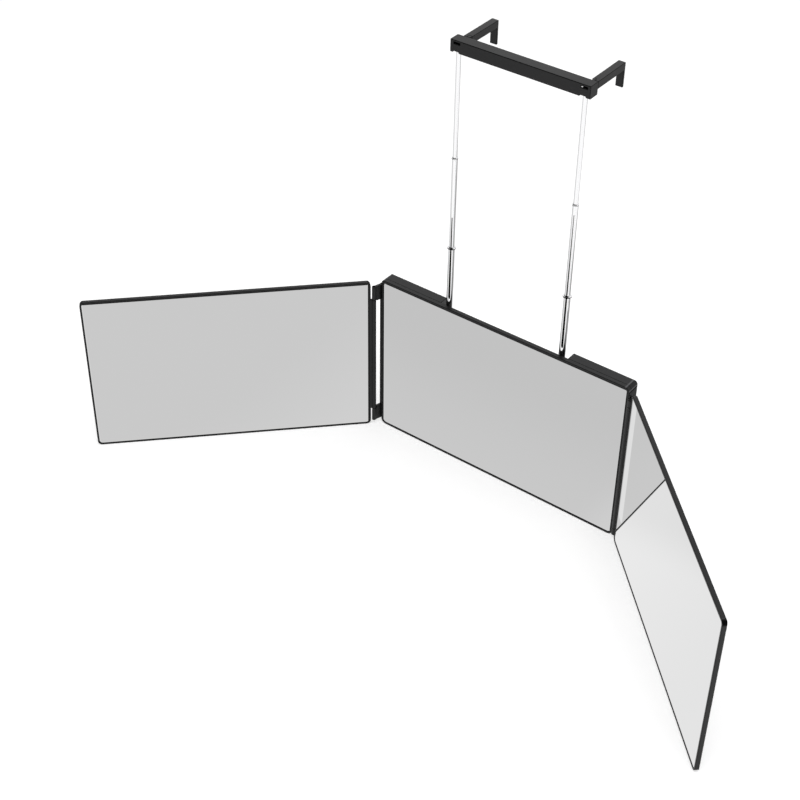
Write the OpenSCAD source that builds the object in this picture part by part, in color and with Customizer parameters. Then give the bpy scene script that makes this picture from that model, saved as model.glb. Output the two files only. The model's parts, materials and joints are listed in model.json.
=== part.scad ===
// Tri-fold hair cutting mirror: a centre panel with a rear housing, two folding
// side leaves and a telescoping over-door hook bracket. Millimetres.
// X runs right along the centre panel, the mirrors face -Y, Z is up.
// The origin is on the housing's underside, in the middle of its length and depth.

/* [Centre panel] */
// Width of the centre panel
panel_w = 290; // [260:1:320]
// Height of the centre panel
panel_h = 185.5; // [170:0.5:210]
// Thickness of a mirror tray, rim to back
tray_t = 4.5; // [4:0.1:6]
// Depth of the centre panel with its rear housing
housing_d = 15.8; // [15.8:0.1:20]
// Corner radius of the centre panel's outline
panel_r = 6; // [3:0.5:10]
// Radius of its upper corner beside the double hinge
hinge_corner_r = 2.6; // [1:0.1:2.8]
// Rounding of the housing's rear edges
edge_r = 1.4; // [0.5:0.1:2]
// Width of the rim round the centre mirror
rim_w = 2.2; // [1.4:0.1:4]
// Wall of the rear housing
wall = 2; // [1.2:0.1:3]

/* [Mirror glass] */
// Thickness of the glass
glass_t = 2; // [1.2:0.1:2.4]
// How far the glass lies below the rim
glass_recess = 0.4; // [0.2:0.1:0.8]
// Gap between the glass edge and the rim
glass_gap = 0.15; // [0.05:0.05:0.5]
// Polished chamfer of the glass edge
glass_chamfer = 0.4; // [0.2:0.1:0.8]

/* [Side leaves] */
// How much lower the right leaf is than the centre panel
leaf_short = 0.5; // [0.2:0.1:3]
// How much lower the left leaf is than the centre panel
left_leaf_short = 1.4; // [0.2:0.1:3]
// Width of the left leaf
left_leaf_w = 291.9; // [250:0.1:292]
// Width of the right leaf
right_leaf_w = 291; // [250:0.2:291]
// Corner radius of a leaf
leaf_r = 5; // [3:0.5:8]
// Rim round a leaf's mirror
leaf_rim = 1.8; // [1.2:0.1:4]
// Rounding of a leaf's rear edges
leaf_edge_r = 0.8; // [0.3:0.1:1.2]
// How far the leaves stand forward of the centre panel (degrees)
open_angle = 45; // [30:1:60]

/* [Left double hinge] */
// Radius of the double hinge's barrels
link_r = 2.2; // [2:0.1:2.4]
// Distance of the inner pin outside the panel's left end
link_out = 2.4; // [2.4:0.1:3.2]
// Distance of the inner pin behind the front of the panel
link_back = 3.7; // [3.2:0.1:4.2]
// Distance between the inner and the outer pin
link_len = 9.98; // [9.6:0.02:11]
// Angle of the link from straight forward at rest (degrees)
link_angle = 18; // [16:1:34]
// Thickness of the link plates
link_t = 3; // [2:0.1:3.6]
// Height of the upper link plate
link_top_h = 17; // [14:0.5:24]
// Height of the lower link plate
link_bottom_h = 17.5; // [12:0.5:24]
// Gap from the top of the panel down to the upper link plate
link_top_gap = 7.5; // [4:0.5:12]
// Gap from the bottom of the panel up to the lower link plate
link_bottom_gap = 5; // [2:0.5:8]
// How far the lower link plate stands above its ear on the outer pin
link_step = 1.5; // [1:0.5:6]
// How much higher the lower link plate ends at the inner pin than at the outer one
link_rise = 1.6; // [0:0.1:3]
// Distance from the outer pin to the left leaf's edge
left_edge_out = 3.5; // [3.5:0.1:5]
// Distance of the outer pin behind the left leaf's front
left_pin_back = 0.9; // [0.8:0.1:1.4]

/* [Right hinge] */
// Radius of the right hinge barrel
barrel_r = 2.8; // [2:0.1:2.9]
// Distance of the right pin outside the panel's right end
right_out = 3; // [3:0.1:3.2]
// Distance of the right pin in front of the panel's front
right_front = 1.2; // [1.1:0.1:1.4]
// Distance from the right pin to the right leaf's edge
right_edge_out = 3.5; // [3.5:0.1:4]
// Distance of the right pin behind the right leaf's front
right_pin_back = 0.91; // [0.6:0.01:0.95]
// Height of a fixed hinge lug
lug_h = 8; // [5:0.5:14]
// Gap from the top of the panel down to the upper lug
lug_top_gap = 10; // [5:0.5:14]
// Gap from the bottom of the panel up to the lower lug
lug_bottom_gap = 5; // [2:0.2:8]

/* [Pins and clearances] */
// Radius of the steel hinge pins
pin_r = 1.2; // [0.8:0.1:1.3]
// Running clearance round a pin
pin_clear = 0.06; // [0.02:0.01:0.1]
// Depth a pin end lies below its lug
pin_sunk = 1.5; // [0.3:0.1:2]
// End gap between knuckles
knuckle_gap = 0.2; // [0.1:0.05:0.4]

/* [Bracket recess] */
// Width of the recess between the housing's ends
recess_w = 149; // [149:1:160]
// Depth of the recess below the housing's top
recess_h = 17.5; // [17.5:0.5:24]

/* [Telescoping rods] */
// Distance of the rods behind the front of the panel
rod_y = 9.3; // [9:0.1:10]
// Position of the left rod
left_rod_x = -67.2; // [-69:0.1:-64]
// Position of the right rod
right_rod_x = 64.8; // [62:0.1:67]
// Outer radius of the fixed guide tube
guide_r = 4; // [3.9:0.1:4.2]
// Radius of the lower section
lower_r = 3.5; // [3.4:0.1:3.6]
// Radius of the middle section
middle_r = 2.95; // [2.85:0.05:3]
// Radius of the upper section
upper_r = 2.4; // [2.2:0.05:2.45]
// Sliding clearance between two sections
slide_clear = 0.1; // [0.05:0.01:0.1]
// Height of the collar at the mouth of a guide tube
collar_h = 1.6; // [1:0.1:1.7]
// Wall of the collar round the lower section
collar_wall = 1.6; // [0.8:0.1:2]
// Length of each section under its lip
tube_len = 150; // [120:1:150]
// How far the lower section is drawn out of the panel
lower_draw = 66.5; // [20:0.5:80]
// How far the middle section is drawn out of the lower one
middle_draw = 99; // [20:0.5:115]
// How far the upper section is drawn out of the middle one
upper_draw = 107.5; // [20:0.1:118]
// How far a section's lip stands out
lip_out = 0.35; // [0.1:0.05:0.4]
// Height of a section's lip
lip_h = 1.2; // [0.6:0.1:1.2]

/* [Hook bracket] */
// Height of the crossbar
bar_h = 12.2; // [10:0.1:12.4]
// Left end of the crossbar
bar_left = -73.3; // [-74:0.1:-72]
// Right end of the crossbar
bar_right = 72.1; // [72.1:0.1:74]
// Front of the crossbar behind the front of the panel
bar_front = 4.7; // [4.7:0.1:5.2]
// Rear of the crossbar behind the front of the panel
bar_rear = 16.4; // [15.8:0.1:17]
// Width of a hook arm
arm_w = 7; // [6:0.1:7]
// Height of a hook arm
arm_h = 7; // [6:0.1:8]
// Middle of the left hook arm
left_arm_x = -63.9; // [-66:0.1:-60]
// Middle of the right hook arm
right_arm_x = 68.6; // [66:0.1:68.6]
// Radius of the knuckles that an arm folds on
hook_knuckle_r = 1.7; // [1.4:0.1:2]
// Radius of the pin in those knuckles
hook_pin_r = 0.8; // [0.6:0.1:0.9]
// Gap between an arm's end and the crossbar it rests against
arm_gap = 0.15; // [0.1:0.05:0.3]
// Distance of the far end of a hook behind the front of the panel
hook_far = 60.9; // [50:0.1:70]
// Thickness of a hook's lip
lip_t = 2; // [1.6:0.1:3]
// Drop of a hook's lip under its arm
lip_drop = 16.4; // [10:0.1:20]
// Height of each of the two knuckles on the crossbar
ear_t = 2; // [1.6:0.1:2.2]

/* [Screws] */
// Radius of a screw head
screw_head_r = 2.7; // [2.2:0.1:3]
// Radius of a screw's shank
screw_r = 1.25; // [1:0.05:1.5]
// Distance of the outer screws from the middle
screw_x = 125; // [100:1:130]
// Distance of the outer screws from the top and bottom
screw_z = 14; // [11:0.5:20]

/* [Hidden] */
$fn = 64;
e = 0.01;

plastic = [0.16, 0.16, 0.165];
glass_c = [0.78, 0.78, 0.78];
chrome_c = [0.85, 0.85, 0.87];
steel_c = [0.6, 0.6, 0.62];

shift_y = -housing_d/2;
half_w = panel_w/2;
leaf_h = panel_h - leaf_short;
left_leaf_h = panel_h - left_leaf_short;
pocket_d = glass_t + glass_recess;
floor_z = panel_h - recess_h;

// inner pin of the double hinge, outer pin at rest
ax = -half_w - link_out;
ay = link_back;
bx = ax - link_len*sin(link_angle);
by = ay - link_len*cos(link_angle);
// right pin
cx = half_w + right_out;
cy = -right_front;

link_hi1 = panel_h - link_top_gap;
link_hi0 = link_hi1 - link_top_h;
link_lo0 = link_bottom_gap;
link_lo1 = link_lo0 + link_bottom_h;
leaf_knuckle0 = link_lo1 - link_step;
leaf_knuckle1 = link_hi0 + 6*knuckle_gap;
lug_hi1 = panel_h - lug_top_gap;
lug_hi0 = lug_hi1 - lug_h;
lug_lo0 = lug_bottom_gap;
lug_lo1 = lug_lo0 + lug_h;

guide_in = lower_r + slide_clear;
lower_in = middle_r + slide_clear;
middle_in = upper_r + slide_clear;
guide_z0 = 12;
lower_top = panel_h + lower_draw;
middle_top = lower_top + middle_draw;
bar_z = middle_top + upper_draw;
bar_top = bar_z + bar_h;
arm_z0 = bar_top - arm_h;
bore_top = bar_top - 1.2;
// an arm's fold axis: one knuckle radius inside the arm's inner side and end, so that
// the knuckles don't stand out of the arm and the folded arm lies along the crossbar
fold_y = max(bar_rear, housing_d) + arm_gap + hook_knuckle_r;
left_fold_x = left_arm_x + arm_w/2 - hook_knuckle_r;
right_fold_x = right_arm_x - arm_w/2 + hook_knuckle_r;
boss_r = 3;
// plastic left over the upper end of a hook pin's hole
pin_cap = 0.7;
slot_end = 12;
slot_pitch = 3;

// ---------- shared shapes ----------
module put() { translate([0, shift_y, 0]) children(); }

// rs is the radius of the corner at x0, z1
module outline(x0, x1, z0, z1, r, rs) {
  rrect(x0, x1, z0, z1, r);
  translate([x0, z1 - r]) square([r, r - rs]);
  translate([x0 + rs, z1 - r]) square([r - rs, r]);
  translate([x0 + rs, z1 - rs]) circle(rs);
}
module rrect(x0, x1, z0, z1, r) {
  translate([x0 + r, z0]) square([x1 - x0 - 2*r, z1 - z0]);
  translate([x0, z0 + r]) square([x1 - x0, z1 - z0 - 2*r]);
  for (x = [x0 + r, x1 - r], z = [z0 + r, z1 - r]) translate([x, z]) circle(r);
}
// an outline drawn in XZ, between two depths
module slab(y0, y1) { translate([0, y1, 0]) rotate([90, 0, 0]) linear_extrude(y1 - y0) children(); }

// a rectangle whose far-side corners are rounded
module dround(a0, a1, b0, b1, r) {
  translate([a0, b0]) square([a1 - a0, b1 - b0 - r]);
  translate([a0 + r, b0]) square([a1 - a0 - 2*r, b1 - b0]);
  for (a = [a0 + r, a1 - r]) translate([a, b1 - r]) circle(r);
}
// rounds the rear edges of what it is given
module soft_back(x0, x1, y0, y1, z0, z1, r) {
  intersection() {
    children();
    translate([0, 0, z0]) linear_extrude(z1 - z0) dround(x0, x1, y0, y1, r);
    translate([x0, 0, 0]) rotate([90, 0, 90]) linear_extrude(x1 - x0)
      polygon_dround(y0, y1, z0, z1, r);
  }
}
module polygon_dround(y0, y1, z0, z1, r) {
  translate([y0, z0]) square([y1 - y0 - r, z1 - z0]);
  translate([y0, z0 + r]) square([y1 - y0, z1 - z0 - 2*r]);
  for (z = [z0 + r, z1 - r]) translate([y1 - r, z]) circle(r);
}

module cyl(x, y, z0, z1, r) { translate([x, y, z0]) cylinder(h = z1 - z0, r = r); }
module tube(x, y, z0, z1, r, ri) {
  difference() { cyl(x, y, z0, z1, r); cyl(x, y, z0 - 1, z1 + 1, ri); }
}
module box(x0, x1, y0, y1, z0, z1) { translate([x0, y0, z0]) cube([x1 - x0, y1 - y0, z1 - z0]); }

// a mirror plate with a polished chamfer on its front edge; front at depth y0
module plate(x0, x1, z0, z1, y0, r) {
  slab(y0 + glass_chamfer, y0 + glass_t) rrect(x0, x1, z0, z1, r);
  slab(y0, y0 + glass_t) rrect(x0 + glass_chamfer, x1 - glass_chamfer, z0 + glass_chamfer, z1 - glass_chamfer, r - glass_chamfer);
}

// a leaf's tray: s along the leaf from its pin, t towards its back from the pin
module leaf_tray(s0, w, h, front, k0, k1, rr) {
  s1 = s0 + w;
  difference() {
    union() {
      soft_back(s0, s1, -front, tray_t - front, 0, h, leaf_edge_r)
        slab(-front, tray_t - front) rrect(s0, s1, 0, h, leaf_r);
      cyl(0, 0, k0, k1, rr);
      // web with a groove along its back, bridged near both ends
      box(0, s0 + 1, -front, 0.6, k0, k1);
      for (z = [k0, k1 - 3, k0 + 8, k1 - 11]) box(0, s0 + 1, -front, rr - 0.4, z, z + 3);
    }
    slab(-front - 1, -front + pocket_d) rrect(s0 + leaf_rim, s1 - leaf_rim, leaf_rim, h - leaf_rim, leaf_r - leaf_rim);
    cyl(0, 0, k0 - 1, k1 + 1, pin_r + pin_clear);
  }
}
module leaf_glass(s0, w, h, front) {
  m = leaf_rim + glass_gap;
  plate(s0 + m, s0 + w - m, m, h - m, -front + glass_recess, leaf_r - leaf_rim);
}
module left_place() { put() translate([bx, by, 0]) rotate([0, 0, 180 + open_angle]) mirror([0, 1, 0]) children(); }
module right_place() { put() translate([cx, cy, 0]) rotate([0, 0, -open_angle]) children(); }

// screw positions
module at_screws() {
  for (x = [-screw_x, screw_x], z = [screw_z, panel_h - screw_z]) translate([x, 0, z]) children();
  for (z = [screw_z, floor_z - screw_z - wall]) translate([0, 0, z]) children();
}

// ---------- centre panel ----------
module panel_outline() { outline(-half_w, half_w, 0, panel_h, panel_r, hinge_corner_r); }

module centre_tray() {
  color(plastic) put() difference() {
    union() {
      slab(0, tray_t) panel_outline();
      // screw bosses
      at_screws() translate([0, tray_t - e, 0]) rotate([-90, 0, 0]) cylinder(h = housing_d - wall - tray_t + e, r = boss_r);
      // inner barrel of the double hinge
      cyl(ax, ay, link_lo1 + knuckle_gap, link_hi0 - knuckle_gap, link_r);
      box(ax, -half_w + e, ay - link_r + 0.4, tray_t, link_lo1 + knuckle_gap, link_hi0 - knuckle_gap);
      // lugs of the right hinge
      for (z = [lug_lo0, lug_hi0]) {
        cyl(cx, cy, z, z + lug_h, barrel_r);
        translate([0, 0, z]) linear_extrude(lug_h)
          polygon([[half_w - e, 0], [half_w - e, tray_t - 0.3], [cx - 1.1, tray_t - 0.3], [cx + barrel_r, cy], [cx - barrel_r, cy]]);
      }
    }
    slab(-1, pocket_d) rrect(-half_w + rim_w, half_w - rim_w, rim_w, panel_h - rim_w, panel_r - rim_w);
    at_screws() translate([0, tray_t + 1, 0]) rotate([-90, 0, 0]) cylinder(h = housing_d, r = screw_r);
    cyl(ax, ay, link_lo1, link_hi0, pin_r + pin_clear);
    cyl(cx, cy, lug_lo0 - 1, lug_hi1 + 1, pin_r);
  }
}

module centre_mirror() {
  m = rim_w + glass_gap;
  color(glass_c) put() plate(-half_w + m, half_w - m, m, panel_h - m, glass_recess, panel_r - rim_w);
}

module back_housing() {
  color(plastic) put() difference() {
    soft_back(-half_w, half_w, tray_t, housing_d, 0, panel_h, edge_r)
      slab(tray_t, housing_d) panel_outline();
    // inside, left of the recess, right of it and under it, with ribs kept for the guide tubes
    difference() {
      union() {
        box(-half_w + wall, -recess_w/2 - wall, tray_t - 1, housing_d - wall, wall + panel_r/2, panel_h - wall);
        box(recess_w/2 + wall, half_w - wall, tray_t - 1, housing_d - wall, wall + panel_r/2, panel_h - wall - panel_r/2);
        box(-half_w + wall, half_w - wall, tray_t - 1, housing_d - wall, wall + panel_r/2, floor_z - wall);
      }
      for (x = [left_rod_x, right_rod_x], k = [0, 1/3, 2/3]) let (z = guide_z0 - wall + k*(floor_z - guide_z0)) box(x - 2*guide_r, x + 2*guide_r, tray_t, housing_d, z, z + 2*wall);
    }
    // the recess, open at the back and top
    box(-recess_w/2, recess_w/2, tray_t - 1, housing_d + 1, floor_z, panel_h + 1);
    for (x = [left_rod_x, right_rod_x]) cyl(x, rod_y, guide_z0, floor_z + 1, guide_r);
    // countersunk screw holes
    at_screws() {
      translate([0, tray_t, 0]) rotate([-90, 0, 0]) cylinder(h = housing_d, r = screw_r + 0.3);
      translate([0, housing_d - 1.2, 0]) rotate([-90, 0, 0]) cylinder(h = 2, r = screw_head_r + 0.2);
    }
    // two slanted slots near each end of both sides
    for (x = [-half_w - 1, half_w - wall - 1], z = [slot_end, panel_h - slot_end - 2*slot_pitch], k = [0, 1])
      translate([x, tray_t + 2, z + k*slot_pitch]) rotate([-30, 0, 0]) cube([wall + 2, 7, 1.2]);
  }
}

module back_screws() {
  color(steel_c) put() at_screws() difference() {
    union() {
      translate([0, housing_d - 1.2, 0]) rotate([-90, 0, 0]) cylinder(h = 1, r = screw_head_r);
      translate([0, tray_t + 3, 0]) rotate([-90, 0, 0]) cylinder(h = housing_d - 1 - tray_t - 3, r = screw_r);
    }
    for (a = [0, 90]) translate([0, housing_d - 0.7, 0]) rotate([0, a, 0]) translate([-1.5, 0, -0.3]) cube([3, 2, 0.6]);
  }
}

// ---------- rods ----------
module guide_tube(x) { color(steel_c) put() tube(x, rod_y, guide_z0, floor_z, guide_r, guide_in); }
module left_guide_tube() { guide_tube(left_rod_x); }
module right_guide_tube() { guide_tube(right_rod_x); }

module guide_collar(x) {
  color(plastic) put() intersection() {
    tube(x, rod_y, floor_z, floor_z + collar_h, guide_in + collar_wall, guide_in);
    box(x - 9, x + 9, tray_t, housing_d - 0.3, floor_z, floor_z + collar_h);
  }
}
module left_guide_collar() { guide_collar(left_rod_x); }
module right_guide_collar() { guide_collar(right_rod_x); }

module section(x, top, r, ri) {
  color(chrome_c) put() difference() {
    union() {
      cyl(x, rod_y, top - tube_len, top, r);
      cyl(x, rod_y, top - lip_h, top, r + lip_out);
    }
    cyl(x, rod_y, top - tube_len - 1, top + 1, ri);
  }
}
module left_lower_tube() { section(left_rod_x, lower_top, lower_r, lower_in); }
module left_middle_tube() { section(left_rod_x, middle_top, middle_r, middle_in); }
module right_lower_tube() { section(right_rod_x, lower_top, lower_r, lower_in); }
module right_middle_tube() { section(right_rod_x, middle_top, middle_r, middle_in); }
module upper_tube(x, top) {
  color(chrome_c) put() difference() {
    cyl(x, rod_y, bar_z - tube_len, top, upper_r);
    cyl(x, rod_y, bar_z - tube_len - 1, top - 1.5, upper_r - 0.5);
  }
}
module left_upper_tube() { upper_tube(left_rod_x, bore_top); }
module right_upper_tube() { upper_tube(right_rod_x, bore_top - 0.3); }

// ---------- hook bracket ----------
module hook_crossbar() {
  color(plastic) put() difference() {
    union() {
      translate([bar_left, 0, 0]) rotate([90, 0, 90]) linear_extrude(bar_right - bar_left)
        rrect(bar_front, bar_rear, bar_z, bar_top, 0.5);
      // an upper and a lower knuckle for each arm
      for (x = [left_fold_x, right_fold_x], z = [arm_z0, bar_top - ear_t]) cyl(x, fold_y, z, z + ear_t, hook_knuckle_r);
      for (z = [arm_z0, bar_top - ear_t]) {
        box(left_fold_x - hook_knuckle_r, left_fold_x, bar_rear - e, fold_y, z, z + ear_t);
        box(right_fold_x, right_fold_x + hook_knuckle_r, bar_rear - e, fold_y, z, z + ear_t);
      }
    }
    for (x = [left_fold_x, right_fold_x]) cyl(x, fold_y, arm_z0 - 1, bar_top - pin_cap, hook_pin_r);
    // the left rod is fixed in its bore, the right rod stands in a wider one
    cyl(left_rod_x, rod_y, bar_z - 1, bore_top, upper_r);
    cyl(right_rod_x, rod_y, bar_z - 1, bore_top, upper_r + slide_clear);
    for (x = [left_rod_x, right_rod_x]) {
      // relief under the front face and a slot near its top
      translate([x, rod_y, bar_z]) rotate([90, 0, 0]) linear_extrude(rod_y - bar_front + 1)
        polygon([[-3.6, -1], [-3.6, 0], [-2.5, 1.5], [2.5, 1.5], [3.6, 0], [3.6, -1]]);
      box(x - 2.6, x + 4.4, bar_front - 1, rod_y, bore_top - 2.6, bore_top - 0.4);
      box(x - 3.4, x + 5, bar_front + 1.2, rod_y, bar_z + 3, bore_top - 0.4);
    }
  }
}
// out is 1 for an arm whose outer side faces +X, -1 for the other
module hook_arm(x, fold_x, out) {
  r = hook_knuckle_r;
  c = r + arm_gap;
  end_y = fold_y - r;
  color(plastic) put() difference() {
    union() {
      // all but the corner that turns beside the crossbar, which is round
      box(x - arm_w/2, x + arm_w/2, fold_y, hook_far, arm_z0, bar_top);
      box(min(fold_x, x + out*arm_w/2), max(fold_x, x + out*arm_w/2), end_y, fold_y + e, arm_z0, bar_top);
      cyl(fold_x, fold_y, arm_z0, bar_top, r);
      box(x - arm_w/2, x + arm_w/2, hook_far - lip_t, hook_far, arm_z0 - lip_drop, arm_z0 + 1);
    }
    // room for the crossbar's two knuckles
    for (z = [arm_z0 - 1, bar_top - ear_t - knuckle_gap]) {
      cyl(fold_x, fold_y, z, z + ear_t + 1 + knuckle_gap, c);
      box(min(fold_x - out, fold_x + out*c), max(fold_x - out, fold_x + out*c), end_y - 1, fold_y, z, z + ear_t + 1 + knuckle_gap);
    }
    cyl(fold_x, fold_y, arm_z0, bar_top, hook_pin_r + pin_clear);
  }
}
module left_hook_arm() { hook_arm(left_arm_x, left_fold_x, -1); }
module right_hook_arm() { hook_arm(right_arm_x, right_fold_x, 1); }
module hook_pin(x) { color(steel_c) put() cyl(x, fold_y, arm_z0 + 0.3, bar_top - pin_cap - 0.1, hook_pin_r); }
module left_hook_pin() { hook_pin(left_fold_x); }
module right_hook_pin() { hook_pin(right_fold_x); }

// ---------- left double hinge ----------
// ear0 and ear1 are the heights of the ear on the outer pin
module link_plate(z0, z1, ear0, ear1) {
  color(plastic) put() translate([ax, ay, 0]) rotate([0, 0, -90 - link_angle]) difference() {
    union() {
      cyl(0, 0, z0, z1, link_r);
      cyl(link_len, 0, ear0, ear1, link_r);
      box(0, link_len, -link_t/2, link_t/2, ear0, ear1);
      box(0, link_len - link_r - 0.3, -link_t/2, link_t/2, z0, z1);
    }
    cyl(0, 0, z0 - 1, z1 + 1, pin_r);
    cyl(link_len, 0, z0 - 1, z1 + 1, pin_r);
  }
}
module link_top() { link_plate(link_hi0, link_hi1, leaf_knuckle1 + knuckle_gap, link_hi1); }
module link_bottom() { link_plate(link_lo0 + link_rise, link_lo1, link_lo0, leaf_knuckle0 - knuckle_gap); }
module link_pin_inner() { color(steel_c) put() cyl(ax, ay, link_lo0 + link_rise + pin_sunk, link_hi1 - pin_sunk, pin_r); }
module link_pin_outer() { color(steel_c) put() cyl(bx, by, link_lo0 + pin_sunk, link_hi1 - pin_sunk, pin_r); }

// ---------- leaves ----------
module left_leaf_tray() { color(plastic) left_place() leaf_tray(left_edge_out, left_leaf_w, left_leaf_h, left_pin_back, leaf_knuckle0, leaf_knuckle1, link_r); }
module left_mirror() { color(glass_c) left_place() leaf_glass(left_edge_out, left_leaf_w, left_leaf_h, left_pin_back); }
module right_hinge_pin() { color(steel_c) put() cyl(cx, cy, lug_lo0 + pin_sunk, lug_hi1 - pin_sunk, pin_r); }
module right_leaf_tray() { color(plastic) right_place() leaf_tray(right_edge_out, right_leaf_w, leaf_h, right_pin_back, lug_lo1 + knuckle_gap, lug_hi0 - knuckle_gap, barrel_r); }
module right_mirror() { color(glass_c) right_place() leaf_glass(right_edge_out, right_leaf_w, leaf_h, right_pin_back); }

centre_tray();
centre_mirror();
back_housing();
back_screws();
left_guide_tube();
right_guide_tube();
left_guide_collar();
right_guide_collar();
left_lower_tube();
left_middle_tube();
left_upper_tube();
right_lower_tube();
right_middle_tube();
right_upper_tube();
hook_crossbar();
left_hook_arm();
right_hook_arm();
left_hook_pin();
right_hook_pin();
link_top();
link_bottom();
link_pin_inner();
link_pin_outer();
left_leaf_tray();
left_mirror();
right_hinge_pin();
right_leaf_tray();
right_mirror();
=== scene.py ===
"""Tri-fold hair cutting mirror: finishes, small trim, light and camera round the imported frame.
Lengths are in metres unless a name ends in _mm or _MM."""
import json
import math

import bmesh
import bpy
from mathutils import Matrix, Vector


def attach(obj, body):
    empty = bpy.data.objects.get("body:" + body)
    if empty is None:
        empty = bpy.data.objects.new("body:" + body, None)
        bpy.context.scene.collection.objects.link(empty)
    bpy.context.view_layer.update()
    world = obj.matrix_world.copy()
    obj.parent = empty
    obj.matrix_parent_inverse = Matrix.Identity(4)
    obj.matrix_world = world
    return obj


MM = 0.001
WHITE = (1, 1, 1, 1)
UP = (0, 0, 1)
TOWARD_FRONT = (0, -1, 0)

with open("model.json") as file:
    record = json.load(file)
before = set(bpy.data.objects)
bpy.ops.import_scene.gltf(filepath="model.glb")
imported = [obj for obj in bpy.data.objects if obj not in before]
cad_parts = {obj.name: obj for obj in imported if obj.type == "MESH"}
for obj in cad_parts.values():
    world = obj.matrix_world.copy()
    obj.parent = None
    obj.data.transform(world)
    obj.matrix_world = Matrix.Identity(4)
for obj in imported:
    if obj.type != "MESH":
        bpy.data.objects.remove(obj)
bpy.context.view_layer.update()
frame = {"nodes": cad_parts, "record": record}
NODES = frame["nodes"]

# ---------- camera: the photograph's viewpoint, worked out from the panels' straight edges ----------
CAM_AZIMUTH = 37.828
CAM_ELEVATION = 39.0
CAM_ROLL = -0.0424
CAM_PLACE_MM = (687.34, -1090.68, 1124.83)
CAM_LENS = 73.606
CAM_SENSOR = 36
CAM_SHIFT = (0.0300, 0.0101)
CAM_CLIP = (0.01, 50)


def make_camera():
    data = bpy.data.cameras.new("camera")
    data.sensor_width = CAM_SENSOR
    data.lens = CAM_LENS
    data.shift_x, data.shift_y = CAM_SHIFT
    data.clip_start, data.clip_end = CAM_CLIP
    cam = bpy.data.objects.new("camera", data)
    cam.location = Vector(CAM_PLACE_MM) * MM
    cam.rotation_euler = [math.radians(turn) for turn in (90 - CAM_ELEVATION, CAM_ROLL, CAM_AZIMUTH)]
    bpy.context.scene.collection.objects.link(cam)
    bpy.context.scene.camera = cam


# ---------- materials ----------
def srgb(code):
    """An sRGB hex colour as the linear colour that a shader takes."""
    parts = [int(code[i:i + 2], 16) / 255 for i in (1, 3, 5)]
    return tuple(c / 12.92 if c <= 0.04045 else ((c + 0.055) / 1.055) ** 2.4 for c in parts) + (1,)


def add(tree, kind, inputs=None, **settings):
    """Adds a node, sets its settings, and fills its sockets with values or links."""
    n = tree.nodes.new(kind)
    for key, value in settings.items():
        setattr(n, key, value)
    for key, value in (inputs or {}).items():
        if isinstance(value, bpy.types.NodeSocket):
            tree.links.new(value, n.inputs[key])
        else:
            n.inputs[key].default_value = value
    return n


def new_material(name):
    m = bpy.data.materials.new(name)
    m.use_nodes = True
    m.node_tree.nodes.clear()
    return m, m.node_tree


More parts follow.
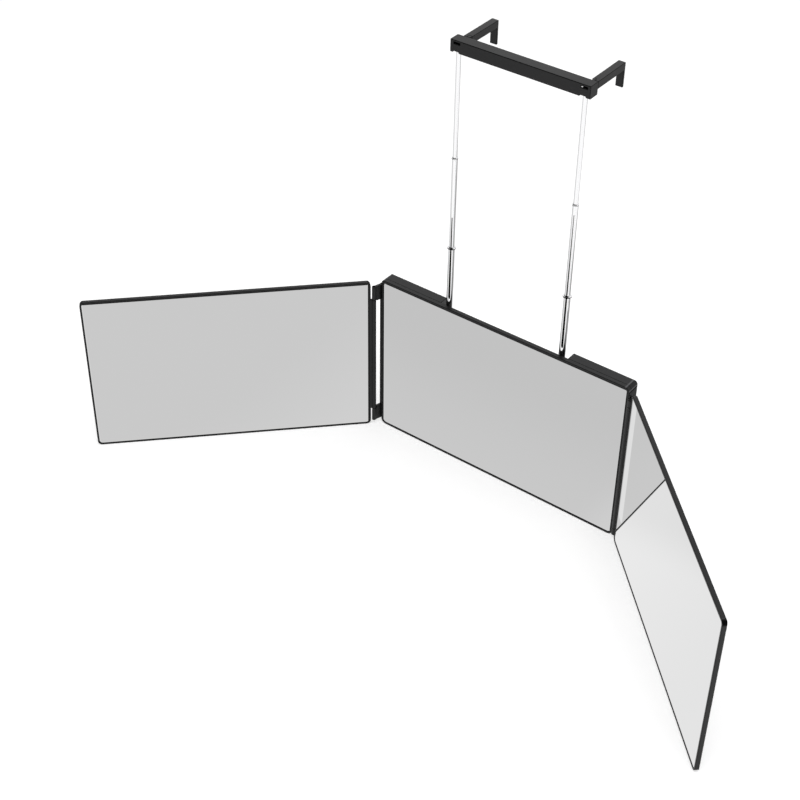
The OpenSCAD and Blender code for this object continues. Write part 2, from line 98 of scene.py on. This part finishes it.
def moulded_plastic(name, colours, rough):
    """ABS from a spark-eroded mould: near black, an even satin with a fine grain, every edge a little
    round. Every edge is painted darker with less shine, as painted shade, and a moulded corner carries painted
    highlight lines."""
    # the real grain of 0.1 mm is too fine to show, so it is drawn coarser
    grain_mm, grain_depth_mm = 0.55, 0.012
    # slow changes from handling and from the mould's flow
    cloud_mm = 40
    edge_round_mm = 1.1
    # the painted shade of the edges, and the painted highlight of the lines at a moulded corner
    painted_shade_colour, painted_highlight_colour = "#030303", "#5c5c5e"
    # painted shade: an upright corner is painted this much darker, and a rim's narrow round this much more
    corner_painted_shade, rim_painted_shade = 0.3, 0.6
    # how strong the painted lines at a corner are, and how dark the painted edges get
    painted_line_strength, painted_shade_strength = 0.9, 0.95
    # an edge painted dark also loses most of the shine
    plain_shine, shine_lost = 0.5, 0.45

    m, t = new_material(name)
    coords = add(t, "ShaderNodeTexCoord").outputs
    grain = add(t, "ShaderNodeTexNoise", {
        "Vector": coords["Object"], "Scale": 1 / (grain_mm * MM), "Detail": 2.0}).outputs["Fac"]
    cloud = add(t, "ShaderNodeTexNoise", {
        "Vector": coords["Object"], "Scale": 1 / (cloud_mm * MM), "Detail": 3.0}).outputs["Fac"]
    gloss = add(t, "ShaderNodeMapRange", {
        "Value": cloud, "From Min": 0.3, "From Max": 0.7,
        "To Min": rough - 0.03, "To Max": rough + 0.04}).outputs["Result"]
    shade = add(t, "ShaderNodeMix", {
        "Factor": cloud, "A": srgb(colours[0]), "B": srgb(colours[1])}, data_type="RGBA").outputs[2]

    # a sharp edge shows by the bevelled normal, a moulded round by how far the surface tips
    round_edge = add(t, "ShaderNodeBevel", {"Radius": edge_round_mm * MM}, samples=6).outputs["Normal"]
    flat = add(t, "ShaderNodeNewGeometry").outputs["Normal"]
    lean = add(t, "ShaderNodeVectorMath", {0: round_edge, 1: flat},
               operation="DOT_PRODUCT").outputs["Value"]
    facing = add(t, "ShaderNodeVectorMath", {0: coords["Normal"]}, operation="ABSOLUTE").outputs["Vector"]
    facing = add(t, "ShaderNodeSeparateXYZ", {"Vector": facing}).outputs
    # each goes from 0 to 1 between two facings
    spans = {
        "tipping": (facing["Z"], 0.1, 0.3),
        "not_level": (facing["Z"], 0.985, 0.93),
        "rim": (facing["Y"], 0.1, 0.4),
        "corner": (facing["Y"], 0.15, 0.05),
        "sharp": (lean, 0.99, 0.88),
        "upper_from": (facing["Z"], 0.93, 0.96),
        "upper_to": (facing["Z"], 0.998, 0.985),
        "lower_from": (facing["X"], 0.88, 0.91),
        "lower_to": (facing["X"], 0.96, 0.95),
        "dark_from": (facing["X"], 0.965, 0.975),
        "dark_to": (facing["X"], 0.9996, 0.998),
    }
    part = {}
    for key, (value, start, end) in spans.items():
        part[key] = add(t, "ShaderNodeMapRange", {
            "Value": value, "From Min": start, "From Max": end}).outputs["Result"]

    # painted shade: upright corners are wide and less dark than the narrow rounds along the rims
    tip = add(t, "ShaderNodeMath", {0: part["tipping"], 1: part["not_level"]},
              operation="MULTIPLY").outputs[0]
    depth = add(t, "ShaderNodeMath", {0: part["rim"], 1: rim_painted_shade, 2: corner_painted_shade},
                operation="MULTIPLY_ADD").outputs[0]
    tip = add(t, "ShaderNodeMath", {0: tip, 1: depth}, operation="MULTIPLY").outputs[0]
    edge = add(t, "ShaderNodeMath", {0: tip, 1: part["sharp"]}, operation="MAXIMUM").outputs[0]
    # a moulded corner ends in a fine painted highlight line above and below, and in a line of painted shade
    # under that
    line = add(t, "ShaderNodeMath", {0: part["corner"], 1: painted_line_strength}, operation="MULTIPLY").outputs[0]
    dark = add(t, "ShaderNodeMath", {0: part["dark_from"], 1: part["dark_to"]},
               operation="MULTIPLY").outputs[0]
    dark = add(t, "ShaderNodeMath", {0: dark, 1: line}, operation="MULTIPLY").outputs[0]
    edge = add(t, "ShaderNodeMath", {0: edge, 1: dark}, operation="MAXIMUM").outputs[0]
    # the edges painted dark: painted shade
    painted_shade_amount = add(t, "ShaderNodeMath", {0: edge, 1: painted_shade_strength}, operation="MULTIPLY").outputs[0]
    painted_edges_colour = add(t, "ShaderNodeMix", {"Factor": painted_shade_amount, "A": shade, "B": srgb(painted_shade_colour)},
               data_type="RGBA").outputs[2]
    # the painted highlight lines at a moulded corner
    upper = add(t, "ShaderNodeMath", {0: part["upper_from"], 1: part["upper_to"]},
                operation="MULTIPLY").outputs[0]
    lower = add(t, "ShaderNodeMath", {0: part["lower_from"], 1: part["lower_to"]},
                operation="MULTIPLY").outputs[0]
    light = add(t, "ShaderNodeMath", {0: upper, 1: lower}, operation="ADD").outputs[0]
    light = add(t, "ShaderNodeMath", {0: light, 1: line}, operation="MULTIPLY").outputs[0]
    painted_edges_colour = add(t, "ShaderNodeMix", {"Factor": light, "A": painted_edges_colour, "B": srgb(painted_highlight_colour)},
               data_type="RGBA").outputs[2]
    shine = add(t, "ShaderNodeMath", {0: edge, 1: -shine_lost, 2: plain_shine},
                operation="MULTIPLY_ADD").outputs[0]

    bump = add(t, "ShaderNodeBump", {
        "Height": grain, "Distance": grain_depth_mm * MM, "Strength": 0.35,
        "Normal": round_edge}).outputs["Normal"]
    skin = add(t, "ShaderNodeBsdfPrincipled", {
        "Base Color": painted_edges_colour, "Roughness": gloss, "IOR": 1.37, "Specular IOR Level": shine,
        "Normal": bump}).outputs[0]
    add(t, "ShaderNodeOutputMaterial", {"Surface": skin})
    return m


def silvered_glass(name, colour, middle_mm, half_mm, along, painted_rim_shade_mm, painted_reflection_mm=None):
    """Float glass, silvered behind: a clean, faintly grey mirror. Along its outline the silver stops
    short and the ground edge is drawn as emission: painted light. The plate's place is given by its middle,
    its half sizes and the direction along its width. The next pair says how far a black band of painted
    shade shows at the top and at the far side, under the raised rim. The last, if given, places a painted
    reflection of the hinge: its middle from the near side and from the plate's middle height, its half sizes
    and its corner."""
    corner_mm = 3.4
    # the ground edge's painted light fades in between these distances, measured inwards from the outline
    ground_from_mm, ground_to_mm, ground_glow_strength = 1.3, 0.7, 0.22
    # the painted reflection of the hinge: how far its outline fades and how strong it is
    painted_reflection_fade_mm, painted_reflection_strength = 1.5, 0.5
    # a film of cleaning haze, which changes slowly
    film_mm, film_rough = 60, 0.012

    m, t = new_material(name)
    where = add(t, "ShaderNodeTexCoord").outputs["Object"]
    # across and up the plate, measured from its middle
    off = add(t, "ShaderNodeVectorMath", {0: where, 1: tuple(v * MM for v in middle_mm)},
              operation="SUBTRACT").outputs["Vector"]
    across = add(t, "ShaderNodeVectorMath", {0: off, 1: along}, operation="DOT_PRODUCT").outputs["Value"]
    up = add(t, "ShaderNodeSeparateXYZ", {"Vector": off}).outputs["Z"]
    flat = add(t, "ShaderNodeCombineXYZ", {"X": across, "Y": up}).outputs["Vector"]

    # how far a place lies past the box that the round corners start from
    fold = add(t, "ShaderNodeVectorMath", {0: flat}, operation="ABSOLUTE").outputs["Vector"]
    inner = ((half_mm[0] - corner_mm) * MM, (half_mm[1] - corner_mm) * MM, 1)
    past = add(t, "ShaderNodeVectorMath", {0: fold, 1: inner}, operation="SUBTRACT").outputs["Vector"]
    past = add(t, "ShaderNodeVectorMath", {0: past, 1: (0, 0, 0)}, operation="MAXIMUM").outputs["Vector"]
    reach = add(t, "ShaderNodeVectorMath", {0: past}, operation="LENGTH").outputs["Value"]
    painted_glow_mask = add(t, "ShaderNodeMapRange", {
        "Value": reach, "From Min": (corner_mm - ground_from_mm) * MM,
        "From Max": (corner_mm - ground_to_mm) * MM, "To Min": 0.0,
        "To Max": ground_glow_strength}).outputs["Result"]
    # a painted reflection of the hinge, a light patch beside the near side
    if painted_reflection_mm:
        near_mm, rise_mm, half_width_mm, half_height_mm, round_mm = painted_reflection_mm
        middle = ((near_mm - half_mm[0]) * MM, rise_mm * MM, 0)
        inner = ((half_width_mm - round_mm) * MM, (half_height_mm - round_mm) * MM, 1)
        past = add(t, "ShaderNodeVectorMath", {0: flat, 1: middle}, operation="SUBTRACT").outputs["Vector"]
        past = add(t, "ShaderNodeVectorMath", {0: past}, operation="ABSOLUTE").outputs["Vector"]
        past = add(t, "ShaderNodeVectorMath", {0: past, 1: inner}, operation="SUBTRACT").outputs["Vector"]
        past = add(t, "ShaderNodeVectorMath", {0: past, 1: (0, 0, 0)},
                   operation="MAXIMUM").outputs["Vector"]
        reach = add(t, "ShaderNodeVectorMath", {0: past}, operation="LENGTH").outputs["Value"]
        painted_reflection = add(t, "ShaderNodeMapRange", {
            "Value": reach, "From Min": round_mm * MM, "From Max": (round_mm - painted_reflection_fade_mm) * MM,
            "To Min": 0.0, "To Max": painted_reflection_strength}).outputs["Result"]
        painted_glow_mask = add(t, "ShaderNodeMath", {0: painted_glow_mask, 1: painted_reflection}, operation="MAXIMUM").outputs[0]

    film = add(t, "ShaderNodeTexNoise", {
        "Vector": where, "Scale": 1 / (film_mm * MM), "Detail": 2.0}).outputs["Fac"]
    gloss = add(t, "ShaderNodeMapRange", {"Value": film, "To Min": 0.0, "To Max": film_rough}).outputs["Result"]
    silver = add(t, "ShaderNodeBsdfPrincipled", {
        "Base Color": srgb(colour), "Metallic": 1.0, "Roughness": gloss}).outputs[0]
    # the ground edge and the hinge's reflection are emission: painted light, no lamp
    painted_glow = add(t, "ShaderNodeEmission", {"Color": srgb("#f4f4f4"), "Strength": 1.0}).outputs[0]
    glass = add(t, "ShaderNodeMixShader", {0: painted_glow_mask, 1: silver, 2: painted_glow}).outputs[0]

    # a black band of painted shade at the top and the far side, under the raised rim
    top = add(t, "ShaderNodeMath", {0: up, 1: (half_mm[1] - painted_rim_shade_mm[0]) * MM},
              operation="GREATER_THAN").outputs[0]
    side = add(t, "ShaderNodeMath", {0: across, 1: (half_mm[0] - painted_rim_shade_mm[1]) * MM},
               operation="GREATER_THAN").outputs[0]
    painted_rim_shade = add(t, "ShaderNodeMath", {0: top, 1: side}, operation="MAXIMUM").outputs[0]
    painted_rim_black = add(t, "ShaderNodeBsdfPrincipled", {"Base Color": srgb("#0b0b0b"), "Roughness": 0.6}).outputs[0]
    whole = add(t, "ShaderNodeMixShader", {0: painted_rim_shade, 1: glass, 2: painted_rim_black}).outputs[0]
    add(t, "ShaderNodeOutputMaterial", {"Surface": whole})
    return m


def drawn_metal(name, colour, rough, groove_mm=None, groove_painted_shade=None):
    """Drawn tube or rod: bright, with fine streaks along its length. groove_mm is the height of the
    groove under a rolled lip, where a dark line of painted shade stands in for the lip's shadow."""
    streak_mm, streak_stretch = 0.3, 0.02
    groove_half_mm = 0.6

    m, t = new_material(name)
    where = add(t, "ShaderNodeTexCoord").outputs["Object"]
    drawn = add(t, "ShaderNodeMapping", {"Vector": where, "Scale": (1, 1, streak_stretch)}).outputs["Vector"]
    streak = add(t, "ShaderNodeTexNoise", {
        "Vector": drawn, "Scale": 1 / (streak_mm * MM), "Detail": 1.0}).outputs["Fac"]
    gloss = add(t, "ShaderNodeMapRange", {
        "Value": streak, "From Min": 0.3, "From Max": 0.7,
        "To Min": rough, "To Max": rough + 0.05}).outputs["Result"]
    tint = srgb(colour)
    # painted shade: a dark line round the tube at the groove
    if groove_mm:
        height = add(t, "ShaderNodeSeparateXYZ", {"Vector": where}).outputs["Z"]
        groove = add(t, "ShaderNodeMath", {0: height, 1: groove_mm * MM, 2: groove_half_mm * MM},
                     operation="COMPARE").outputs[0]
        groove = add(t, "ShaderNodeMath", {0: groove, 1: groove_painted_shade}, operation="MULTIPLY").outputs[0]
        tint = add(t, "ShaderNodeMix", {"Factor": groove, "A": srgb(colour), "B": srgb("#1c1c1e")},
                   data_type="RGBA").outputs[2]
    skin = add(t, "ShaderNodeBsdfPrincipled", {
        "Base Color": tint, "Metallic": 1.0, "Roughness": gloss}).outputs[0]
    add(t, "ShaderNodeOutputMaterial", {"Surface": skin})
    return m


def dead_black_shade(name, colour):
    """Dead black and lumpy, without shine: painted shade that fills a hole and rings a lip where shadow falls.
    """
    lump_mm, lump_depth_mm = 0.4, 0.05

    m, t = new_material(name)
    where = add(t, "ShaderNodeTexCoord").outputs["Object"]
    lumps = add(t, "ShaderNodeTexNoise", {
        "Vector": where, "Scale": 1 / (lump_mm * MM), "Detail": 2.0}).outputs["Fac"]
    bump = add(t, "ShaderNodeBump", {
        "Height": lumps, "Distance": lump_depth_mm * MM, "Strength": 0.5}).outputs["Normal"]
    skin = add(t, "ShaderNodeBsdfPrincipled", {
        "Base Color": srgb(colour), "Roughness": 0.9, "Specular IOR Level": 0.05,
        "Normal": bump}).outputs[0]
    add(t, "ShaderNodeOutputMaterial", {"Surface": skin})
    return m


BLACK_ABS = moulded_plastic("black_abs_moulded", ("#1a1a1b", "#1d1d1e"), 0.40)
PLATING = ("#f6f6f7", 0.04)
CHROME = drawn_metal("chrome_plated_tube", *PLATING)
# each tube has a dark line of painted shade at the given height
GROOVED = {
    "lower_tube": drawn_metal("chrome_lower_tube", *PLATING, groove_mm=250.9, groove_painted_shade=0.2),
    "middle_tube": drawn_metal("chrome_middle_tube", *PLATING, groove_mm=350.2, groove_painted_shade=0.5),
}
STEEL = drawn_metal("blackened_steel", "#2b2b2d", 0.3)
# dead black painted shade for the pin hole and under the lips
SHADE_BLACK = dead_black_shade("black_painted_shade", "#040404")
FINISH = {"housing_plastic": BLACK_ABS, "chrome_tube": CHROME, "steel_pin": STEEL}

# each plate at rest: its middle, its half sizes, the direction along its width, and how wide its band of
# painted rim shade is
HALF = math.sqrt(0.5)
# the silver's tone differs plate by plate, lightest on the right plate, for how bright each reflects at its
# angle: painted light, since the plates are the same glass
MIRRORS = {
    "centre_mirror": silvered_glass(
        "silvered_glass_centre", "#dedede", (0, -7.5, 92.75), (142.6, 90.4), (1, 0, 0), (1.1, 0.7)),
    "left_mirror": silvered_glass(
        "silvered_glass_left", "#e6e6e6", (-256.6, -118.9, 92.1), (144.1, 90.1), (HALF, HALF, 0),
        (1.3, 1.1)),
    # the right plate also carries a painted reflection of the hinge
    "right_mirror": silvered_glass(
        "silvered_glass_right", "#f8f8f8", (253.9, -114.0, 92.5), (143.7, 90.5), (HALF, -HALF, 0),
        (1.1, 0.5), painted_reflection_mm=(9.8, 30, 6.9, 86.5, 5)),
}


def finish_cad_nodes():
    slot_of = {s["node"]: s["material_slot"] for s in frame["record"]["subparts"]}
    for name, obj in NODES.items():
        # "lower_tube" for the left and the right one alike
        kind = name.split("_", 1)[1]
        obj.data.materials.clear()
        obj.data.materials.append(MIRRORS.get(name) or GROOVED.get(kind) or FINISH[slot_of[name]])


# ---------- small turned trim, each outline given as radius and height in mm ----------
ROD_MM = {"left": (-67.2, 1.4), "right": (64.8, 1.4)}
RIGHT_PIN_TOP_MM = (148, -9.1, 175.5)
LIP_BASE_MM = 250.8
END_STOP_PLACE_MM = (63.2, -2.3, 468.02)
TURN_STEPS = 24
SAME_POINT_MM = 0.02
# the collar that carries the right hinge pin's upper end, closed but for the pin's hole
PIN_COLLAR_MM = ((1.55, 0.02), (1.55, 2.0), (1.75, 2.3), (2.4, 2.3), (2.7, 2.0), (2.7, 0.02), (1.55, 0.02))
# a dished dead black fill in that hole: painted shade for the hole's shadow
PIN_HOLE_SHADE_MM = ((0, 1.9), (1.0, 1.95), (1.5, 2.1), (1.5, 0.02), (0, 0.02))
# the turned-out lip at the lower tube's top: its edge in dead black, painted shade for the shadow under the
# lip, and its plated face
LIP_MM = ((3.52, 0), (4.3, 0), (4.45, 0.12), (4.45, 0.95), (3.52, 0.95), (3.52, 0))
LIP_FACE_MM = ((3.52, 0.97), (4.42, 0.97), (4.42, 1.02), (4.3, 1.15), (3.52, 1.15), (3.52, 0.97))
# the domed end stop that shows in the right slot of the crossbar
END_STOP_MM = ((0, 0.85), (0.5, 0.78), (0.85, 0.55), (1.05, 0.2), (1.05, 0), (0, 0))


def turned(name, outline_mm, place_mm, axis, material, body):
    """A small turned piece: the outline spun round the axis, riding the body."""
    bm = bmesh.new()
    line = [bm.verts.new((r * MM, 0, h * MM)) for r, h in outline_mm]
    edges = [bm.edges.new(pair) for pair in zip(line, line[1:])]
    bmesh.ops.spin(bm, geom=line + edges, cent=(0, 0, 0), axis=UP, angle=math.tau, steps=TURN_STEPS,
                   use_merge=True, use_duplicate=False)
    bmesh.ops.remove_doubles(bm, verts=bm.verts, dist=SAME_POINT_MM * MM)
    bmesh.ops.recalc_face_normals(bm, faces=bm.faces)
    upright = Vector(UP).rotation_difference(Vector(axis)).to_matrix()
    bmesh.ops.rotate(bm, verts=bm.verts, cent=(0, 0, 0), matrix=upright)
    bmesh.ops.translate(bm, verts=bm.verts, vec=Vector(place_mm) * MM)
    for face in bm.faces:
        face.smooth = True
    mesh = bpy.data.meshes.new(name)
    bm.to_mesh(mesh)
    bm.free()
    mesh.materials.append(material)
    piece = bpy.data.objects.new(name, mesh)
    bpy.context.scene.collection.objects.link(piece)
    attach(piece, body)


def make_trim():
    turned("right_pin_collar", PIN_COLLAR_MM, RIGHT_PIN_TOP_MM, UP, BLACK_ABS, "panel")
    # the pin's hole filled with painted shade
    turned("right_pin_hole_shade", PIN_HOLE_SHADE_MM, RIGHT_PIN_TOP_MM, UP, SHADE_BLACK, "panel")
    for side, (x, y) in ROD_MM.items():
        foot, body = (x, y, LIP_BASE_MM), side + "_lower"
        # the lip's edge in dead black: painted shade
        turned(side + "_lower_lip", LIP_MM, foot, UP, SHADE_BLACK, body)
        turned(side + "_lower_lip_face", LIP_FACE_MM, foot, UP, CHROME, body)
    turned("right_end_stop", END_STOP_MM, END_STOP_PLACE_MM, TOWARD_FRONT, CHROME, "bracket")


# ---------- stage ----------
FLOOR_SIZE = 8.0
# the camera sees the floor this much lifted, so that only a soft shadow is left
FLOOR_LIFT = 0.5
# the floor's brightness in gloss: in front of the mirrors, how much it changes away from the panel and to
# the right, where no mirror shows it, far behind, and in the shade to the right of the panel
NEAR_TONE, DEEP_CHANGE, RIGHT_CHANGE = 0.79, -0.05, 0.075
CLEAR_TONE, REAR_TONE, SHADE_TONE = 1.06, 0.6, 0.35
FLOOR_MIDDLE = (0, -0.12, 0)

ROOM_LEVEL = 0.55
# in gloss the studio is dark up and towards the camera, and white elsewhere
DARK_WAY, DARK_LEVEL = (-0.1, -0.86, 0.5), 0.08

# the cards in front of the rods: their height, half width below, the extra to the left below, and how far
# in front they stand; then each card's top and the left and right end of its upper edge
FLAG_LOW_MM, FLAG_HALF_MM, FLAG_EXTRA_MM, FLAG_AWAY_MM = 187, 5.5, 3, 12
FLAG_TOPS_MM = {"left": (281, -4.2, 2.4), "right": (335, -3.2, 1.2)}
FLAG_SIDE, FLAG_FRONT = Vector((0.956, 0.286, 0)), Vector((0.286, -0.956, 0))

LAMP_AIM = (0, 0, 0.2)
# each softbox's place, size and power
LAMPS = {
    "top_softbox": ((0.3, -0.5, 2.4), 1.6, 18),
    "side_softbox": ((2.2, -0.4, 1.2), 1.2, 7),
}


def floor_paint(name, shade):
    """White sweep. The camera sees it white with the object's soft shadow. In gloss it shows painted tones: a
    light grey of painted shade in front of the mirrors, for the panels' shade there, white round that, and grey
    far behind."""
    m, t = new_material(name)
    path = add(t, "ShaderNodeLightPath").outputs
    where = add(t, "ShaderNodeTexCoord").outputs["Object"]
    spot = add(t, "ShaderNodeSeparateXYZ", {"Vector": where}).outputs
    x, y = spot["X"], spot["Y"]

    # slanted lines over the floor: what the left leaf shows, the right leaf, across the front, and far out
    left_line = add(t, "ShaderNodeMath", {0: x, 1: y}, operation="SUBTRACT").outputs[0]
    right_line = add(t, "ShaderNodeMath", {0: x, 1: y}, operation="ADD").outputs[0]
    front_line = add(t, "ShaderNodeMath", {0: x, 1: 0.388, 2: y}, operation="MULTIPLY_ADD").outputs[0]
    far_line = add(t, "ShaderNodeMath", {0: y, 1: -0.25, 2: x}, operation="MULTIPLY_ADD").outputs[0]
    away = add(t, "ShaderNodeVectorMath", {0: where, 1: FLOOR_MIDDLE},
               operation="DISTANCE").outputs["Value"]
    # each goes from 0 to 1 between two places, in metres
    spans = {
        "deep": (y, 0.0, -0.18),
        "right": (x, 0.09, 0.16),
        "past_left": (left_line, 0.255, 0.275),
        "past_front": (front_line, -0.085, -0.105),
        "behind": (y, 0.0, 0.05),
        "behind_leaf": (right_line, 0.15, 0.17),
        "far": (away, 0.39, 0.47),
        "far_right": (far_line, 0.06, 0.12),
        "rear": (y, 0.35, 0.6),
        "shade_left": (x, 0.14, 0.17),
        "shade_right": (x, 0.55, 0.45),
        "shade_front": (y, 0.02, 0.05),
        "shade_back": (y, 0.50, 0.40),
        "backdrop": (away, 0.8, 1.8),
    }
    part = {}
    for key, (value, start, end) in spans.items():
        part[key] = add(t, "ShaderNodeMapRange", {
            "Value": value, "From Min": start, "From Max": end},
            interpolation_type="SMOOTHSTEP").outputs["Result"]

    tone = add(t, "ShaderNodeMath", {0: part["deep"], 1: DEEP_CHANGE, 2: NEAR_TONE},
               operation="MULTIPLY_ADD").outputs[0]
    tone = add(t, "ShaderNodeMath", {0: part["right"], 1: RIGHT_CHANGE, 2: tone},
               operation="MULTIPLY_ADD").outputs[0]
    # what no mirror shows is white
    clear = add(t, "ShaderNodeMath", {0: part["past_left"], 1: part["past_front"]},
                operation="MULTIPLY").outputs[0]
    distant = add(t, "ShaderNodeMath", {0: part["far"], 1: part["far_right"]},
                  operation="MULTIPLY").outputs[0]
    for zone in (part["behind"], part["behind_leaf"], distant):
        clear = add(t, "ShaderNodeMath", {0: clear, 1: zone}, operation="MAXIMUM").outputs[0]
    tone = add(t, "ShaderNodeMix", {"Factor": clear, "A": tone, "B": CLEAR_TONE},
               data_type="FLOAT").outputs[0]
    # far behind, a grey that gives the chrome its tone from the back
    tone = add(t, "ShaderNodeMix", {"Factor": part["rear"], "A": tone, "B": REAR_TONE},
               data_type="FLOAT").outputs[0]
    # the shade that the right end shows lies behind the panel
    zone = part["shade_left"]
    for key in ("shade_right", "shade_front", "shade_back"):
        zone = add(t, "ShaderNodeMath", {0: zone, 1: part[key]}, operation="MULTIPLY").outputs[0]
    tone = add(t, "ShaderNodeMix", {"Factor": zone, "A": tone, "B": SHADE_TONE},
               data_type="FLOAT").outputs[0]
    mirrored = add(t, "ShaderNodeEmission", {"Color": WHITE, "Strength": tone}).outputs[0]

    paint = add(t, "ShaderNodeBsdfDiffuse", {"Color": srgb(shade)}).outputs[0]
    lift = add(t, "ShaderNodeEmission", {"Color": WHITE, "Strength": FLOOR_LIFT}).outputs[0]
    seen = add(t, "ShaderNodeAddShader", {0: paint, 1: lift}).outputs[0]
    # far out, the floor fades into the white of the backdrop
    backdrop = add(t, "ShaderNodeEmission", {"Color": WHITE, "Strength": 1.0}).outputs[0]
    seen = add(t, "ShaderNodeMixShader", {0: part["backdrop"], 1: seen, 2: backdrop}).outputs[0]

    clear_ray = add(t, "ShaderNodeMath", {0: path["Is Glossy Ray"], 1: path["Is Transmission Ray"]},
                    operation="MAXIMUM").outputs[0]
    lit = add(t, "ShaderNodeMixShader", {0: clear_ray, 1: paint, 2: mirrored}).outputs[0]
    whole = add(t, "ShaderNodeMixShader", {0: path["Is Camera Ray"], 1: lit, 2: seen}).outputs[0]
    add(t, "ShaderNodeOutputMaterial", {"Surface": whole})
    return m


def make_floor():
    bm = bmesh.new()
    bmesh.ops.create_grid(bm, x_segments=1, y_segments=1, size=FLOOR_SIZE / 2)
    mesh = bpy.data.meshes.new("floor")
    bm.to_mesh(mesh)
    bm.free()
    floor = bpy.data.objects.new("floor", mesh)
    mesh.materials.append(floor_paint("white_sweep", "#e8e8e8"))
    bpy.context.scene.collection.objects.link(floor)


def make_flag(side):
    """A narrow black card close in front of a rod, above everything that the mirrors show: a photographic
    flag, which draws the dark stripe that makes the plating look polished. Only gloss sees it."""
    high_mm, top_left_mm, top_right_mm = FLAG_TOPS_MM[side]
    foot = Vector((*ROD_MM[side], 0)) + FLAG_FRONT * FLAG_AWAY_MM
    outline_mm = (
        (-FLAG_HALF_MM - FLAG_EXTRA_MM, FLAG_LOW_MM), (FLAG_HALF_MM, FLAG_LOW_MM),
        (top_right_mm, high_mm), (top_left_mm, high_mm))
    bm = bmesh.new()
    bm.faces.new([bm.verts.new((foot + FLAG_SIDE * across + Vector(UP) * height) * MM)
                  for across, height in outline_mm])
    mesh = bpy.data.meshes.new(side + "_flag")
    bm.to_mesh(mesh)
    bm.free()
    m, t = new_material("black_card")
    card_black = add(t, "ShaderNodeBsdfDiffuse", {"Color": srgb("#0a0a0a")}).outputs[0]
    add(t, "ShaderNodeOutputMaterial", {"Surface": card_black})
    mesh.materials.append(m)
    card = bpy.data.objects.new(side + "_flag", mesh)
    bpy.context.scene.collection.objects.link(card)
    card.visible_camera = card.visible_diffuse = card.visible_transmission = card.visible_shadow = False


def make_lamp(name, place, size, power):
    data = bpy.data.lights.new(name, "AREA")
    data.shape, data.size, data.energy = "SQUARE", size, power
    lamp = bpy.data.objects.new(name, data)
    lamp.location = place
    lamp.visible_glossy = False
    lamp.rotation_euler = (Vector(LAMP_AIM) - Vector(place)).to_track_quat("-Z", "Y").to_euler()
    bpy.context.scene.collection.objects.link(lamp)


def make_world():
    """A studio that is white behind the object and dark behind the camera."""
    world = bpy.data.worlds.new("studio")
    world.use_nodes = True
    t = world.node_tree
    t.nodes.clear()
    path = add(t, "ShaderNodeLightPath").outputs
    toward = add(t, "ShaderNodeTexCoord").outputs["Generated"]
    dark = add(t, "ShaderNodeVectorMath", {0: toward, 1: DARK_WAY}, operation="DOT_PRODUCT").outputs["Value"]
    gloss = add(t, "ShaderNodeMapRange", {
        "Value": dark, "From Min": -0.1, "From Max": 0.6, "To Min": 1.0, "To Max": DARK_LEVEL},
        interpolation_type="SMOOTHSTEP").outputs["Result"]
    room = add(t, "ShaderNodeBackground", {"Color": WHITE, "Strength": ROOM_LEVEL}).outputs[0]
    mirrored = add(t, "ShaderNodeBackground", {"Color": WHITE, "Strength": gloss}).outputs[0]
    white = add(t, "ShaderNodeBackground", {"Color": WHITE, "Strength": 1.0}).outputs[0]
    clear_ray = add(t, "ShaderNodeMath", {0: path["Is Glossy Ray"], 1: path["Is Transmission Ray"]},
                    operation="MAXIMUM").outputs[0]
    lit = add(t, "ShaderNodeMixShader", {0: clear_ray, 1: room, 2: mirrored}).outputs[0]
    whole = add(t, "ShaderNodeMixShader", {0: path["Is Camera Ray"], 1: lit, 2: white}).outputs[0]
    add(t, "ShaderNodeOutputWorld", {"Surface": whole})
    bpy.context.scene.world = world


finish_cad_nodes()
make_trim()
make_camera()
make_floor()
for side in ROD_MM:
    make_flag(side)
make_world()
for name, (place, size, power) in LAMPS.items():
    make_lamp(name, place, size, power)
bpy.context.scene.view_settings.view_transform = "Standard"
